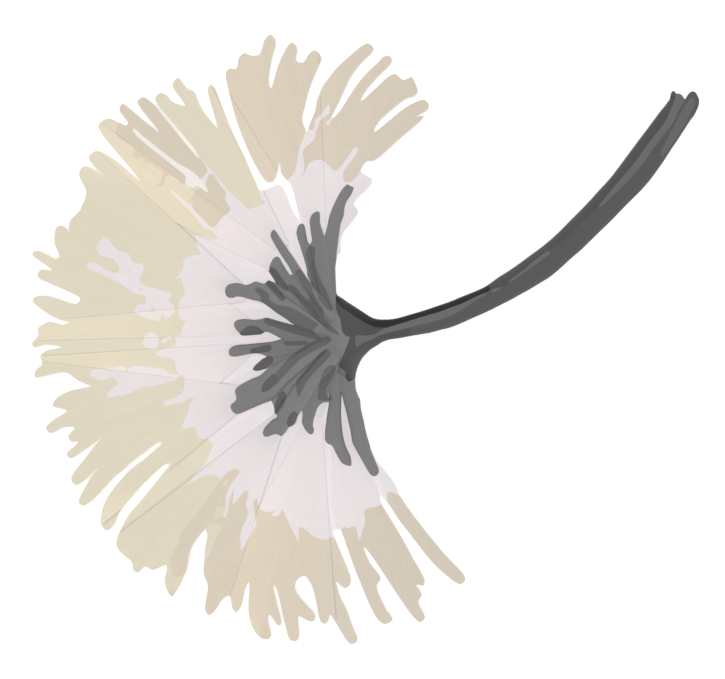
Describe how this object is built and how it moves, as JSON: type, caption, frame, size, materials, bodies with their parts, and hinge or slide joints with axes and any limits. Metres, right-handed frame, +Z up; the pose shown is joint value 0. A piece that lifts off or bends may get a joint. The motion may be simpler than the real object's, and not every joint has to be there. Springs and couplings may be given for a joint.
{
  "type": "cut mimosa flower head",
  "caption": "Cut mimosa flower lying on its side: a puff of fringed filament tufts, each in a grey calyx finger, on a flared receptacle and a curved stem.",
  "frame": {"origin": "middle of the flower's box in plan, on the surface that it lies on", "axes": "+Z up from the surface, +X from the head towards the cut end of the stem, +Y across the head, as the flower is seen from above"},
  "size_m": [0.0544, 0.05, 0.0274],
  "materials": {
    "stem": "matte dark grey plant stem with fine lengthwise ribs",
    "calyx": "matte grey calyx with darker streaks",
    "filaments_cream": "soft matte cream filaments, pale at the base",
    "filaments_tan": "soft matte tan filaments, pale at the base"
  },
  "bodies": {
    "root": {"stem": "stem", "filaments_rim_01": "filaments_tan", "calyx_rim_01": "calyx", "filaments_rim_02": "filaments_tan", "calyx_rim_02": "calyx", "filaments_rim_03": "filaments_cream", "calyx_rim_03": "calyx", "filaments_rim_04": "filaments_tan", "calyx_rim_04": "calyx", "filaments_rim_05": "filaments_cream", "calyx_rim_05": "calyx", "filaments_rim_06": "filaments_cream", "calyx_rim_06": "calyx", "filaments_rim_07": "filaments_cream", "calyx_rim_07": "calyx", "filaments_rim_08": "filaments_cream", "calyx_rim_08": "calyx", "filaments_rim_09": "filaments_cream", "calyx_rim_09": "calyx", "filaments_rim_10": "filaments_cream", "calyx_rim_10": "calyx", "filaments_rim_11": "filaments_tan", "calyx_rim_11": "calyx", "filaments_rim_12": "filaments_tan", "calyx_rim_12": "calyx", "filaments_rim_13": "filaments_tan", "calyx_rim_13": "calyx", "filaments_rim_14": "filaments_tan", "calyx_rim_14": "calyx", "filaments_rim_15": "filaments_tan", "calyx_rim_15": "calyx", "filaments_mid_1": "filaments_tan", "calyx_mid_1": "calyx", "filaments_mid_2": "filaments_cream", "calyx_mid_2": "calyx", "filaments_mid_3": "filaments_cream", "calyx_mid_3": "calyx", "filaments_mid_4": "filaments_cream", "calyx_mid_4": "calyx", "filaments_mid_5": "filaments_tan", "calyx_mid_5": "calyx", "filaments_top_1": "filaments_cream", "calyx_top_1": "calyx", "filaments_top_2": "filaments_cream", "calyx_top_2": "calyx", "filaments_top_3": "filaments_cream", "calyx_top_3": "calyx", "filaments_top_4": "filaments_tan", "calyx_top_4": "calyx", "filaments_low_1": "filaments_tan", "calyx_low_1": "calyx", "filaments_low_2": "filaments_cream", "calyx_low_2": "calyx", "filaments_low_3": "filaments_tan", "calyx_low_3": "calyx", "filaments_floor_1": "filaments_cream", "calyx_floor_1": "calyx", "filaments_floor_2": "filaments_cream", "calyx_floor_2": "calyx"}
  },
  "joints": []
}
